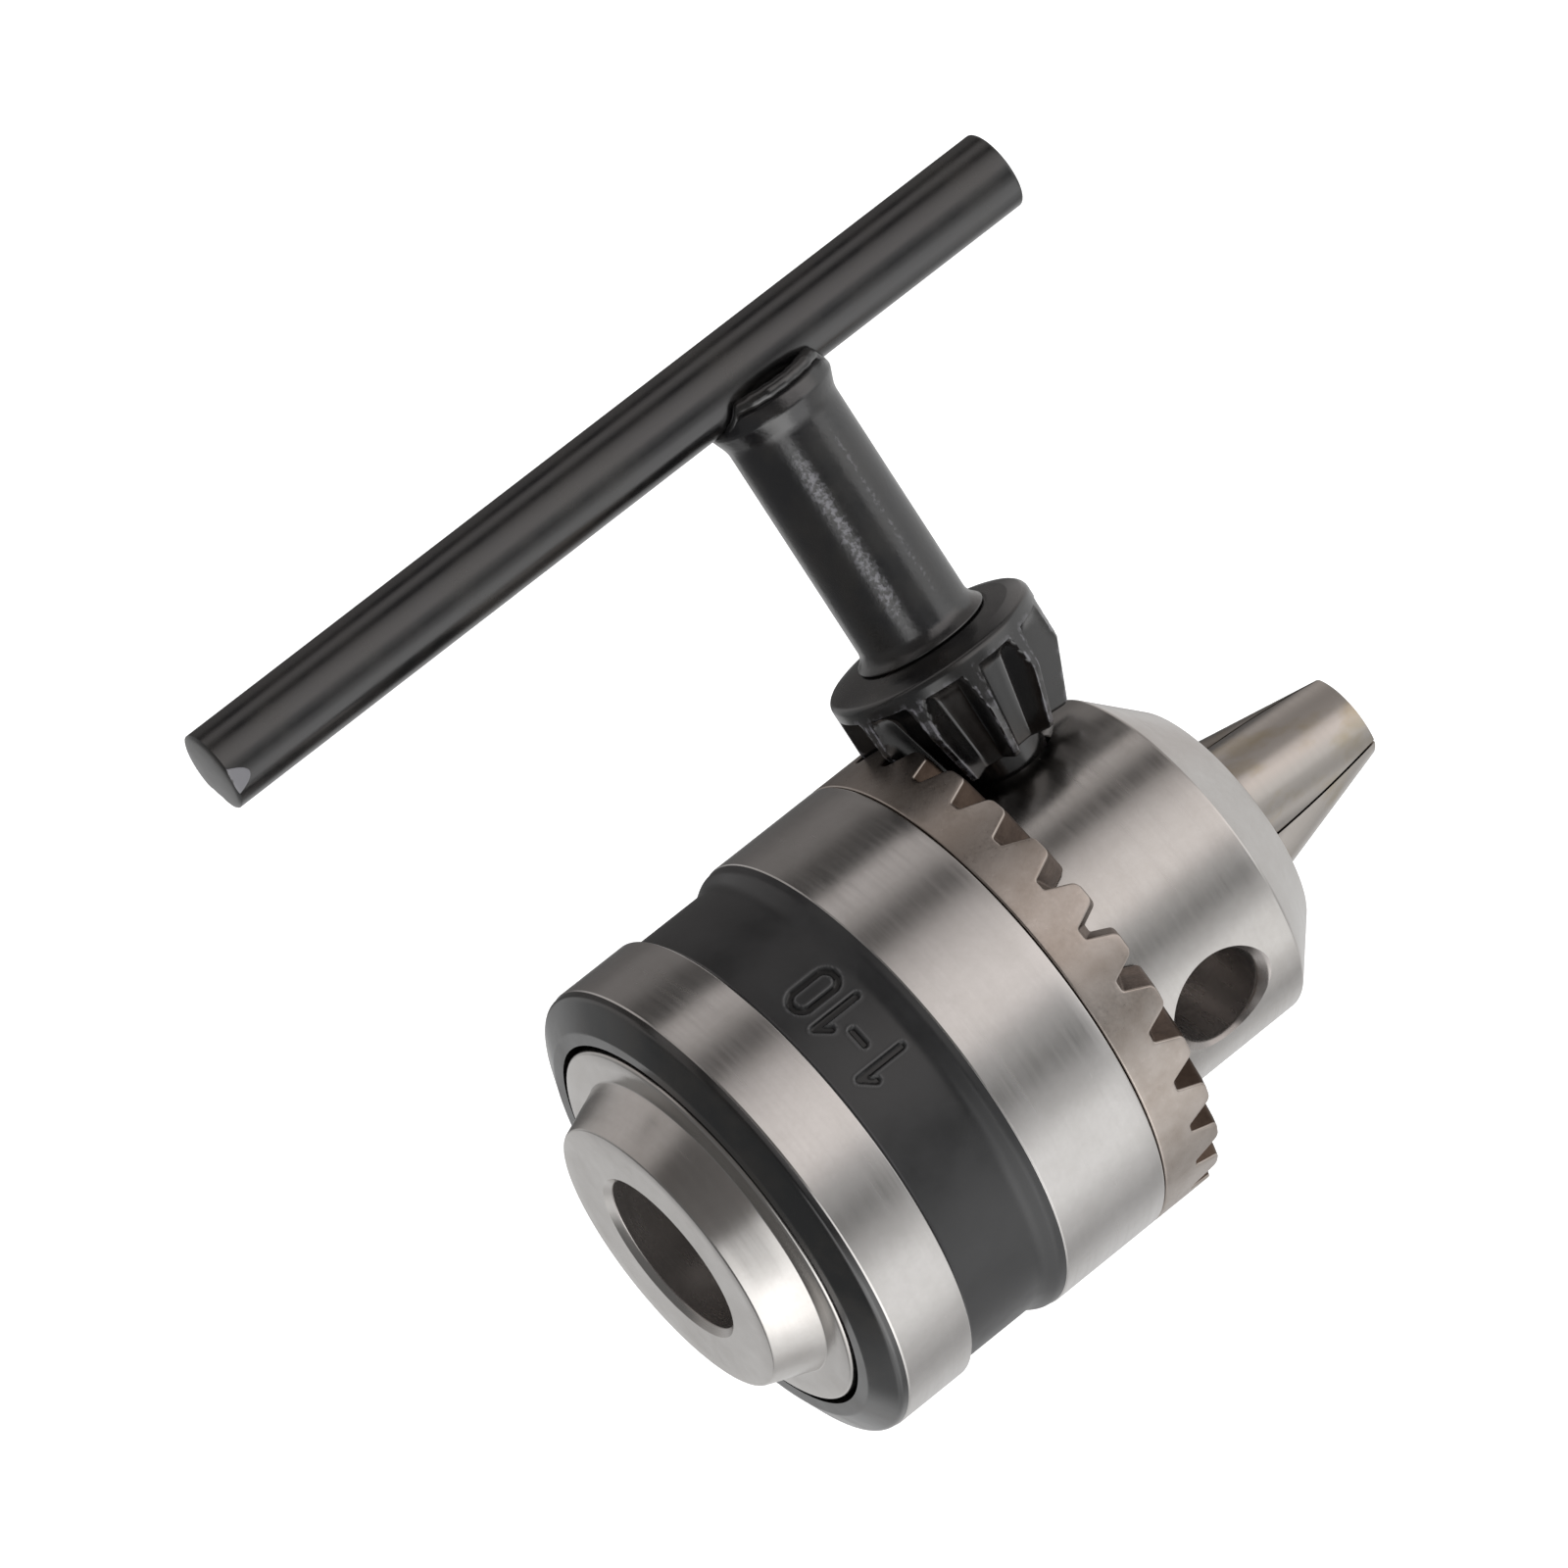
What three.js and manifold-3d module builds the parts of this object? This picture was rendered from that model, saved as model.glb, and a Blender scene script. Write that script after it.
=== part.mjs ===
// A keyed drill chuck of 10 mm capacity with its T-handle key, in millimetres.
//
// Frame: the origin is the centre of the back face, +Z points out of that face towards the spindle,
// and +X runs along the key. A depth "s" is measured from the back face towards the jaws, so z = -s.
import * as THREE from 'three';
import { mergeVertices } from 'three/addons/utils/BufferGeometryUtils.js';
import { ConvexGeometry } from 'three/addons/geometries/ConvexGeometry.js';
import Module from 'manifold-3d';

const wasm = await Module();
wasm.setup();

// ---- driving dimensions ----
const SLEEVE_R = 17;          // outside of the sleeve and the toothed ring
const CAPACITY = 10;          // largest shank that the jaws take
const GAP = 0.3;              // between two pieces that lie against each other
const PART_SEGMENTS = 48;     // facets round a turned piece

const BOSS_R = 9.85;          // boss at the back of the body, widening to its base
const BOSS_BASE_R = 11.1;
const FLANGE_R = 13.35;       // body inside the sleeve, and its visible flange
const FLANGE_S = 3.2;         // depth of the flange's back face
const NOSE_R = 12;            // plain nose in front of the toothed ring
const NOSE_EDGE_S = 41.9;     // where the nose's front cone starts
const FRONT_R = 8.5;          // front face
const FRONT_S = 45.4;

const COUNTERBORE_R = 5.675;  // smooth mouth of the spindle hole
const COUNTERBORE_S = 4;
const THREAD_R = 4.7625;      // 3/8 inch spindle thread, drawn as a plain hole at its major radius
const THREAD_S = 15.5;
const SHANK_BORE_R = 5.2;     // clearance for the tail of a drill shank, from the front
const SHANK_BORE_S = 23.2;

const JAW_ANGLE = THREE.MathUtils.degToRad(15);
const JAW_R = 3.5;
const JAW_CLEARANCE = 0.25;   // jaw to its bore
const JAW_TIP_S = 56.3;       // depth of the closed jaws' tips
const JAW_TIP_AXIS_R = -0.8;  // the jaw's own axis at that depth
const JAW_TAIL_S = 24.6;       // the closed jaws' tails, on the jaw's axis
const JAW_BORE_END_S = 5.6;
const JAW_AZIMUTHS = [60, 180, 300];
const JAW_FACE_GAP = 0.15;    // from each gripping face to its neighbour's plane
const TAIL_REACH_R = 15.35;   // the open jaws' tails stay inside this radius

const THREAD_PITCH = 2;       // along the chuck, right-handed
const THREAD_PHASE_S = 26;    // depth of the nut's thread at azimuth 0
const THREAD_TURNS = 1.1;
const RIDGE_HEIGHT = 1.3;
const GROOVE_DEPTH = 1.25;
const NUT_BACK_S = 23.6;
const NUT_FRONT_S = 28.2;
const NUT_R = 13.95;
const NUT_GROOVE_R = 9.3;     // bottom of the body's groove under the nut
const LAST_GROOVE_S = 45.9;

const REAR_BAND_R = 16.8;     // rear ground band
const BLACK_BAND_R = 16.3;    // recessed band
const SLEEVE_BACK_S = 3.4;
const SHOULDER_S = 4.9;       // end of the rounded rear shoulder
const REAR_BAND_S = 10;
const FRONT_BAND_S = 17.7;
const SLEEVE_FRONT_S = 25.6;
const LIP_R = 13.75;
const SLEEVE_BORE_R = 15.6;

const RING_TEETH = 27;
const PINION_TEETH = 11;
const KEY_S = 35.8;           // depth of the key's axis
const VALLEY_S = 28.4;        // tooth valleys and tips at the ring's outside
const TIP_S = 30.3;
const RING_BORE_R = 12.35;

const KEY_HOLE_R = 3.2;
const KEY_HOLE_END_R = 6;     // distance of the key holes' flat ends from the chuck's axis
const PILOT_R = 3;
const PILOT_TIP_X = 6.9;
const PINION_X = 13;          // small end of the pinion
const PINION_R = 7.2;
const PINION_ROOT_R = 5.3;    // at the ring's outside
const TEETH_END_X = 19.7;
const HEAD_END_X = 21;
const SHANK_R = 3.9;
const BAR_X = 42;
const BAR_R = 2.7;
const BAR_BACK_S = -7;
const BAR_FRONT_S = 56.4;
const COLLAR_R = 4.5;

// ---- small helpers ----
const tanJaw = Math.tan(JAW_ANGLE);
const jawAxisR = (s) => JAW_TIP_AXIS_R + (JAW_TIP_S - s) * tanJaw;
const jawBackR = (s) => jawAxisR(s) + JAW_R / Math.cos(JAW_ANGLE);

function signedVolume(vertices, triangles) {
  let sum = 0;
  const corner = (i) => new THREE.Vector3().fromArray(vertices, 3 * triangles[i]);
  for (let i = 0; i < triangles.length; i += 3) {
    sum += corner(i).dot(corner(i + 1).cross(corner(i + 2)));
  }
  return sum / 6;
}

// A closed three.js geometry as a solid, with its faces turned outward.
function solid(geometry) {
  const bare = geometry.clone();
  bare.deleteAttribute('normal');
  bare.deleteAttribute('uv');
  const merged = mergeVertices(bare, 1e-5);
  const vertProperties = Float32Array.from(merged.attributes.position.array);
  const triVerts = Uint32Array.from(merged.index.array);
  if (signedVolume(vertProperties, triVerts) < 0) triVerts.reverse();
  const mesh = new wasm.Mesh({ numProp: 3, vertProperties, triVerts });
  mesh.merge();
  return new wasm.Manifold(mesh);
}

// Turned about Z from [radius, depth] pairs.
function turned(profile, segments = PART_SEGMENTS) {
  const points = profile.map(([r, s]) => new THREE.Vector2(r, -s));
  return solid(new THREE.LatheGeometry(points, segments).rotateX(Math.PI / 2));
}

// Turned about the key's axis from [radius, distance from the chuck's axis] pairs.
function turnedOnKey(profile, segments = 32) {
  const points = profile.map(([r, x]) => new THREE.Vector2(r, x));
  const geometry = new THREE.LatheGeometry(points, segments).rotateZ(-Math.PI / 2);
  return solid(geometry.translate(0, 0, -KEY_S));
}

function closed(profile) {
  return [...profile, profile[0]];
}

function rotatedAboutZ(piece, degrees) {
  return piece.rotate([0, 0, degrees]);
}

// The part of a cone or pyramid that lies between an apex and a convex outline.
function pyramid(apex, outline) {
  return solid(new ConvexGeometry([apex, ...outline]));
}

// ---- chuck body ----
function bodyBlank() {
  return turned([
    [0, THREAD_S + 2.7],
    [THREAD_R, THREAD_S],
    [THREAD_R, COUNTERBORE_S + 0.6],
    [COUNTERBORE_R, COUNTERBORE_S],
    [COUNTERBORE_R, 0.4],
    [COUNTERBORE_R + 0.4, 0],
    [BOSS_R - 0.3, 0],
    [BOSS_R, 0.3],
    [BOSS_BASE_R, FLANGE_S],
    [FLANGE_R - 0.25, FLANGE_S],
    [FLANGE_R, FLANGE_S + 0.25],
    [FLANGE_R, NUT_BACK_S - GAP],
    [NUT_GROOVE_R, NUT_BACK_S - GAP],
    [NUT_GROOVE_R, NUT_FRONT_S + GAP],
    [NOSE_R, NUT_FRONT_S + GAP],
    [NOSE_R, NOSE_EDGE_S],
    [FRONT_R, FRONT_S],
    [SHANK_BORE_R + 0.5, FRONT_S],
    [SHANK_BORE_R, FRONT_S - 0.5],
    [SHANK_BORE_R, SHANK_BORE_S],
    [0, SHANK_BORE_S - 2.8],
  ]);
}

// A round bar on a jaw's axis, at azimuth 0, between two depths.
function barOnJawAxis(radius, backS, frontS, segments) {
  const length = (frontS - backS) / Math.cos(JAW_ANGLE);
  const middleS = (backS + frontS) / 2;
  const geometry = new THREE.CylinderGeometry(radius, radius, length, segments);
  geometry.rotateX(Math.PI / 2);
  geometry.rotateY(JAW_ANGLE);
  return solid(geometry.translate(jawAxisR(middleS), 0, -middleS));
}

function keyHole() {
  return turnedOnKey([
    [0, KEY_HOLE_END_R],
    [KEY_HOLE_R, KEY_HOLE_END_R],
    [KEY_HOLE_R, NOSE_R - 0.55],
    [KEY_HOLE_R + 1.4, NOSE_R + 0.85],
    [0, NOSE_R + 0.85],
  ]);
}

function chuckBody() {
  let body = bodyBlank();
  const bore = barOnJawAxis(JAW_R + JAW_CLEARANCE, JAW_BORE_END_S, JAW_TIP_S, 32);
  for (const azimuth of JAW_AZIMUTHS) body = body.subtract(rotatedAboutZ(bore, azimuth));
  for (const azimuth of [0, 120, 240]) body = body.subtract(rotatedAboutZ(keyHole(), azimuth));
  return body;
}

// ---- sleeve ----
function sleeve() {
  const shoulder = new THREE.EllipseCurve(
    LIP_R + 0.15, SHOULDER_S, REAR_BAND_R - LIP_R - 0.15, SHOULDER_S - SLEEVE_BACK_S, -Math.PI / 2, 0);
  const rise = new THREE.CubicBezierCurve(
    new THREE.Vector2(BLACK_BAND_R, FRONT_BAND_S - 1.6),
    new THREE.Vector2(BLACK_BAND_R, FRONT_BAND_S - 0.8),
    new THREE.Vector2(SLEEVE_R, FRONT_BAND_S - 1.2),
    new THREE.Vector2(SLEEVE_R, FRONT_BAND_S));
  return turned(closed([
    ...shoulder.getPoints(5).map((p) => [p.x, p.y]),
    [REAR_BAND_R, REAR_BAND_S],
    [BLACK_BAND_R, REAR_BAND_S + 0.3],
    ...rise.getPoints(4).map((p) => [p.x, p.y]),
    [SLEEVE_R, SLEEVE_FRONT_S],
    [NUT_R + GAP, SLEEVE_FRONT_S],
    [NUT_R + GAP, NUT_BACK_S - GAP],
    [SLEEVE_BORE_R, NUT_BACK_S - 1.4],
    [SLEEVE_BORE_R, SHOULDER_S + 1.2],
    [LIP_R, SHOULDER_S],
    [LIP_R, SLEEVE_BACK_S + 0.1],
  ]));
}

// ---- toothed ring: bevel teeth whose lines all meet where the key's axis crosses the chuck's ----
function ringValley(bottomHalf, topHalf, bottomS) {
  const reach = 1.2;
  const apex = new THREE.Vector3(0, 0, -KEY_S);
  const topS = TIP_S + 0.5;
  const outline = [[-topHalf, topS], [-bottomHalf, bottomS], [bottomHalf, bottomS], [topHalf, topS]];
  return pyramid(apex, outline.map(([y, s]) => {
    const atOutside = new THREE.Vector3(SLEEVE_R, y, -s);
    return atOutside.sub(apex).multiplyScalar(reach).add(apex);
  }));
}

function gearRing() {
  const tipSlope = (KEY_S - TIP_S) / SLEEVE_R;
  let ring = turned(closed([
    [SLEEVE_R, SLEEVE_FRONT_S + GAP],
    [SLEEVE_R, TIP_S],
    [RING_BORE_R, KEY_S - RING_BORE_R * tipSlope],
    [RING_BORE_R, NUT_FRONT_S + GAP],
    [NUT_R + GAP, NUT_FRONT_S + GAP],
    [NUT_R + GAP, SLEEVE_FRONT_S + GAP],
  ]), 2 * RING_TEETH);
  const flanks = ringValley(0.35, 1.42, VALLEY_S);
  const tipRounding = ringValley(0.6, 2.2, TIP_S - 0.7);
  const valley = flanks.add(tipRounding);
  for (let tooth = 0; tooth < RING_TEETH; tooth += 1) {
    ring = ring.subtract(rotatedAboutZ(valley, (tooth + 0.5) * 360 / RING_TEETH));
  }
  return ring;
}

// ---- split nut, with one conical internal thread ----
function nutThread() {
  const ridge = new THREE.BoxGeometry(THREAD_TURNS, 1, 1, Math.round(THREAD_TURNS * 32), 1, 1);
  const position = ridge.attributes.position;
  for (let i = 0; i < position.count; i += 1) {
    const turn = position.getX(i);
    const towardAxis = position.getY(i) + 0.5;
    const halfWidth = THREE.MathUtils.lerp(0.55, 0.2, towardAxis);
    const centreS = THREAD_PHASE_S - THREAD_PITCH * turn;
    const s = centreS + 2 * position.getZ(i) * halfWidth;
    const r = THREE.MathUtils.lerp(jawBackR(s) + 0.6, jawBackR(s) + GAP - RIDGE_HEIGHT, towardAxis);
    position.setXYZ(i, r * Math.cos(2 * Math.PI * turn), r * Math.sin(2 * Math.PI * turn), -s);
  }
  return solid(ridge);
}

function nut() {
  const ends = [NUT_BACK_S, NUT_FRONT_S];
  const blank = turned(closed([
    [NUT_R, ends[0]],
    [NUT_R, ends[1]],
    [jawBackR(ends[1]) + GAP, ends[1]],
    [jawBackR(ends[0]) + GAP, ends[0]],
  ]));
  return blank.add(nutThread());
}

function nutHalf(side) {
  const block = new THREE.BoxGeometry(40, 40, 40).translate(0, side * (20 + GAP / 2), -NUT_BACK_S);
  return nut().intersect(solid(block));
}

// ---- jaws ----
function jawWedge() {
  const reach = 20;
  const halfWidth = (reach - JAW_FACE_GAP) * Math.tan(Math.PI / 3);
  const sector = new THREE.Shape([
    new THREE.Vector2(JAW_FACE_GAP, 0),
    new THREE.Vector2(reach, -halfWidth),
    new THREE.Vector2(reach, halfWidth),
  ]);
  const geometry = new THREE.ExtrudeGeometry(sector, { depth: JAW_TIP_S, bevelEnabled: false });
  return solid(geometry.translate(0, 0, -JAW_TIP_S));
}

// The grooves that the nut's thread runs in, as one comb turned about the chuck's axis.
function grooveComb(azimuth) {
  const phaseS = THREAD_PHASE_S - THREAD_PITCH * azimuth / 360;
  const outer = 18;
  const first = Math.floor((JAW_TAIL_S - 2 - phaseS) / THREAD_PITCH);
  const last = Math.floor((LAST_GROOVE_S - phaseS) / THREAD_PITCH);
  const profile = [[outer, phaseS + first * THREAD_PITCH - 1]];
  for (let k = first; k <= last; k += 1) {
    const s = phaseS + k * THREAD_PITCH;
    profile.push([jawBackR(s - 0.78) + 0.15, s - 0.78]);
    profile.push([jawBackR(s - 0.42) - GROOVE_DEPTH, s - 0.42]);
    profile.push([jawBackR(s + 0.42) - GROOVE_DEPTH, s + 0.42]);
    profile.push([jawBackR(s + 0.78) + 0.15, s + 0.78]);
  }
  profile.push([outer, phaseS + last * THREAD_PITCH + 1]);
  return turned(closed(profile));
}

function tailEnvelope() {
  const geometry = new THREE.CylinderGeometry(TAIL_REACH_R, TAIL_REACH_R, JAW_TIP_S, PART_SEGMENTS);
  geometry.rotateX(Math.PI / 2);
  return solid(geometry.translate(-CAPACITY / 2, 0, -JAW_TIP_S / 2));
}

function jaw(azimuth) {
  const round = barOnJawAxis(JAW_R, JAW_TAIL_S, JAW_TIP_S + 6, 24);
  const blank = round.intersect(jawWedge()).intersect(tailEnvelope());
  return rotatedAboutZ(blank.subtract(grooveComb(azimuth)), azimuth);
}

// ---- key ----
function keyPilot() {
  return turnedOnKey([
    [0, PILOT_TIP_X],
    [PILOT_R - 0.5, PILOT_TIP_X],
    [PILOT_R, PILOT_TIP_X + 0.5],
    [PILOT_R, TEETH_END_X - 2],
    [0, TEETH_END_X - 2],
  ]);
}

function pinionGap() {
  const apex = new THREE.Vector3(0, 0, -KEY_S);
  const reach = TEETH_END_X / SLEEVE_R;
  const outline = [[-0.74, PINION_ROOT_R], [0.74, PINION_ROOT_R], [2.3, 8.1], [-2.3, 8.1]];
  return pyramid(apex, outline.map(([y, rho]) => {
    const atOutside = new THREE.Vector3(SLEEVE_R, y, rho - KEY_S);
    return atOutside.sub(apex).multiplyScalar(reach).add(apex);
  }));
}

function keyPinion() {
  const toothTipR = (x) => PINION_R * x / SLEEVE_R;
  let pinion = turnedOnKey(closed([
    [PILOT_R + GAP / 2, PINION_X],
    [toothTipR(PINION_X), PINION_X],
    [PINION_R, SLEEVE_R],
    [PINION_R, TEETH_END_X + 0.5],
    [PINION_R - 0.15, HEAD_END_X - 0.35],
    [PINION_R - 0.6, HEAD_END_X],
    [2.6, HEAD_END_X],
    [2.6, HEAD_END_X - 1.8],
    [0.9, HEAD_END_X - 1.8],
    [0.9, TEETH_END_X - 1.5],
    [PILOT_R + GAP / 2, TEETH_END_X - 1.5],
  ]), 44);
  const toCentre = new THREE.Vector3(0, 0, KEY_S);
  const gap = pinionGap().translate(toCentre.toArray());
  for (let tooth = 0; tooth < PINION_TEETH; tooth += 1) {
    const turnedGap = gap.rotate([tooth * 360 / PINION_TEETH, 0, 0]);
    pinion = pinion.subtract(turnedGap.translate(toCentre.clone().negate().toArray()));
  }
  return pinion;
}

function handleBarBlank(radius) {
  const chamfer = 0.7;
  const profile = [
    [0, BAR_BACK_S],
    [radius - chamfer, BAR_BACK_S],
    [radius, BAR_BACK_S + chamfer],
    [radius, BAR_FRONT_S - chamfer / 2],
    [radius - chamfer / 2, BAR_FRONT_S],
    [0, BAR_FRONT_S],
  ];
  return turned(profile, 28).translate([BAR_X, 0, 0]);
}

function keyShank() {
  const blank = turnedOnKey([
    [0, HEAD_END_X - 1.5],
    [2.3, HEAD_END_X - 1.5],
    [2.3, HEAD_END_X + GAP],
    [SHANK_R, HEAD_END_X + GAP],
    [SHANK_R, BAR_X - 1],
    [0, BAR_X - 1],
  ]);
  return blank.subtract(handleBarBlank(BAR_R + GAP));
}

function weldCollar() {
  const blank = turnedOnKey(closed([
    [SHANK_R + GAP, BAR_X - 4],
    [SHANK_R + GAP + 0.15, BAR_X - 4],
    [COLLAR_R, BAR_X - 3.4],
    [COLLAR_R + 0.2, BAR_X - 1.6],
    [SHANK_R + GAP, BAR_X - 1.2],
  ]));
  return blank.subtract(handleBarBlank(BAR_R + GAP));
}

// ---- assembly ----
const FINISHES = {
  groundSteel: { color: 0xb9b3ae, roughness: 0.32, metalness: 1 },
  blackedSteel: { color: 0x3a3b3d, roughness: 0.5, metalness: 0.6 },
  gearSteel: { color: 0x9d928a, roughness: 0.42, metalness: 1 },
  jawSteel: { color: 0xa69d93, roughness: 0.28, metalness: 1 },
  blackOxide: { color: 0x1c1c1d, roughness: 0.35, metalness: 0.4 },
};

const chuck = new THREE.Group();

function place(name, piece, finish) {
  const mesh = piece.getMesh();
  const geometry = new THREE.BufferGeometry();
  geometry.setAttribute('position', new THREE.BufferAttribute(mesh.vertProperties, mesh.numProp));
  geometry.setIndex(new THREE.BufferAttribute(mesh.triVerts, 1));
  const material = new THREE.MeshStandardMaterial({ ...FINISHES[finish], flatShading: true });
  const placed = new THREE.Mesh(geometry, material);
  placed.name = name;
  chuck.add(placed);
}

place('chuck_body', chuckBody(), 'groundSteel');
place('sleeve', sleeve(), 'blackedSteel');
place('gear_ring', gearRing(), 'gearSteel');
place('nut_half_a', nutHalf(1), 'gearSteel');
place('nut_half_b', nutHalf(-1), 'gearSteel');
JAW_AZIMUTHS.forEach((azimuth, i) => place(`jaw_${i + 1}`, jaw(azimuth), 'jawSteel'));
place('key_pilot', keyPilot(), 'blackOxide');
place('key_pinion', keyPinion(), 'blackOxide');
place('key_shank', keyShank(), 'blackOxide');
place('key_handle_bar', handleBarBlank(BAR_R), 'blackOxide');
place('key_weld_collar', weldCollar(), 'blackOxide');

export default chuck;
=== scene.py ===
"""A keyed drill chuck with its T-handle key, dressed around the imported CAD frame.

Lengths in this file are millimetres until a mesh is filled. The frame's origin is the centre of the
chuck's back face, +Z points out of that face and +X runs along the key. A depth s is measured from
the back face towards the jaws, so z = -s.
"""
import math

import bmesh
import bpy
import numpy as np
from mathutils import Matrix, Vector


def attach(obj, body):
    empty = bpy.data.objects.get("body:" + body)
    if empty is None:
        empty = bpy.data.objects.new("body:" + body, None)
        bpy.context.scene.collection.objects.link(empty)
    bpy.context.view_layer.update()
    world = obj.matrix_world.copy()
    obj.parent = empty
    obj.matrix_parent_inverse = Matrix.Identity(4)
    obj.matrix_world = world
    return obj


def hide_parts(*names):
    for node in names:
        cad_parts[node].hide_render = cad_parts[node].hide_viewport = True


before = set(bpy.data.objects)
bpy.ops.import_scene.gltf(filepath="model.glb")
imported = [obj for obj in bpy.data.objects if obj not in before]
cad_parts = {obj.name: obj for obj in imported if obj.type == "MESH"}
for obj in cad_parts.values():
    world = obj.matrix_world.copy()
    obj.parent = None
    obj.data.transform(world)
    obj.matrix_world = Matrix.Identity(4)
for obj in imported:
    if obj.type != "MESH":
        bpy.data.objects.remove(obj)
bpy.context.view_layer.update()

MM = 0.001
TAU = 2 * math.pi

# Chuck body
BOSS_R, BOSS_BASE_R = 9.85, 11.1
FLANGE_R, FLANGE_S = 13.35, 3.2
NOSE_R, NOSE_EDGE_S = 12.0, 41.9
FRONT_R, FRONT_S = 8.5, 45.4
NUT_GROOVE_R, NUT_GROOVE_S = 9.3, (23.3, 28.5)
COUNTERBORE_R, COUNTERBORE_S = 5.675, 4.0
THREAD_R, THREAD_END_S = 4.7625, 15.5
THREAD_PITCH = 25.4 / 24
THREAD_HEIGHT, THREAD_FADE = 0.3, 0.6
SHANK_BORE_R, SHANK_BORE_S = 5.2, 23.2
MOUTH_CHAMFER_ROWS = 5          # the spindle hole's last rows, ground with the back face
KEY_HOLE_AZIMUTHS = (0, 120, 240)

# Jaws
JAW_ANGLE = math.radians(15)
JAW_R, JAW_BORE_R = 3.5, 3.72
JAW_TIP_S, JAW_TIP_AXIS_R = 56.3, -0.8
JAW_TAIL_S, JAW_BORE_END_S = 24.6, 5.6
JAW_AZIMUTHS = (60, 180, 300)
JAW_FACE_GAP = 0.12
TAIL_REACH_R, JAW_TRAVEL_R = 15.35, 5.0
GROOVE_PITCH, GROOVE_PHASE_S, GROOVE_DEPTH = 2.0, 26.0, 1.25
GROOVE_TOP_HALF, GROOVE_BOTTOM_HALF, LAST_GROOVE_S = 0.78, 0.42, 45.9
GROOVE_COMB_R, GROOVE_OVERSHOOT = 18.0, 0.15

# Sleeve and toothed ring
SLEEVE_R, REAR_BAND_R, BLACK_BAND_R = 17.0, 16.8, 16.3
SLEEVE_BACK_S, SHOULDER_S, REAR_BAND_S = 3.4, 4.9, 10.0
FRONT_BAND_S, SLEEVE_FRONT_S = 17.7, 25.8
LIP_R, SLEEVE_BORE_R, NUT_SEAT_R = 13.75, 15.6, 14.25
RING_TEETH, RING_BACK_S, RING_BORE_R = 27, 25.88, 12.35
VALLEY_S, TIP_S = 28.4, 30.3
VALLEY_HALF, LAND_HALF, TOOTH_EDGE_R = 0.36, 0.74, 0.13
LIP_ROWS = 3                    # the sleeve's last rows, inside its lip, black like the shoulder

# Stamped numerals
NUMERAL_HEIGHT, NOUGHT_R, STAMP_DEPTH, BURR_HEIGHT = 3.4, 0.78, 0.2, 0.03
NUMERAL_AZIMUTHS, NUMERAL_WINDOW = (-68, 112), 34

# Key
KEY_S = 35.8
PINION_TEETH = 11
KEY_HOLE_R, KEY_HOLE_END_R = 3.2, 6.0
PILOT_R, PILOT_TIP_X, PILOT_BACK_X = 3.0, 6.9, 17.5
PINION_X, PINION_R, PINION_ROOT_R = 13.0, 7.2, 5.3
GAP_ROOT_HALF, GAP_TOP_HALF, RUN_OUT = 0.74, 1.78, 1.1
TEETH_END_X, HEAD_END_X = 19.7, 21.0
SHANK_R = 3.9
BAR_X, BAR_R = 42.0, 2.7
BAR_BACK_S, BAR_FRONT_S = -7.0, 56.4
# the struck flats on the bar's back end: azimuth, reach from the axis, slope, how far it is rubbed
STRUCK_FLATS = [(140, 2.2, 0.7, 1.3), (256, 2.52, 7.0, 8.0)]
END_RUB, END_DOME, FLATS_END = 0.2, 0.1, 1.6

# Camera, in metres
CAMERA_RIGHT = Vector((-0.5279, -0.39765, -0.75045))
CAMERA_BACK = Vector((0.26595, -0.91655, 0.2986))
LOOK_AT, CAMERA_DISTANCE = Vector((0.01976, -0.00169, -0.02249)), 0.7286
LENS, SENSOR_WIDTH = 272.5, 36


# ---- shapes ----
def unit(v):
    """The vector divided by its length."""
    return v / np.linalg.norm(v)


def rounded(corners, steps=4, closed=False):
    """An outline through (a, b, radius) corners: each corner with a radius becomes the arc of that
    radius that touches both of its sides, and the sides between stay straight."""
    points = []
    count = len(corners)
    for i, (a, b, radius) in enumerate(corners):
        here = np.array([a, b], float)
        if radius == 0 or (not closed and i in (0, count - 1)):
            points.append(here)
            continue
        before = np.array(corners[i - 1][:2], float) - here
        after = np.array(corners[(i + 1) % count][:2], float) - here
        half = math.acos(np.clip(unit(before) @ unit(after), -1, 1)) / 2
        reach = min(radius / math.tan(half), 0.49 * np.linalg.norm(before), 0.49 * np.linalg.norm(after))
        radius = reach * math.tan(half)
        centre = here + unit(unit(before) + unit(after)) * radius / math.sin(half)
        start = unit(here + unit(before) * reach - centre)
        end = unit(here + unit(after) * reach - centre)
        sweep = math.acos(np.clip(start @ end, -1, 1))
        turn = np.linspace(0, 1, steps + 1)[:, None]
        arc = (np.sin((1 - turn) * sweep) * start + np.sin(turn * sweep) * end) / math.sin(sweep)
        points.extend(centre + radius * arc)
    return np.array(points)


def spaced(outline, step, closed=False):
    """The same outline with points added, so that no two neighbours are more than step apart."""
    ends = np.roll(outline, -1, axis=0) if closed else outline[1:]
    starts = outline if closed else outline[:-1]
    pieces = []
    for start, end in zip(starts, ends):
        parts = max(1, math.ceil(np.linalg.norm(end - start) / step))
        pieces.append(start + (end - start) * np.arange(parts)[:, None] / parts)
    if not closed:
        pieces.append(outline[-1:])
    return np.concatenate(pieces)


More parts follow.
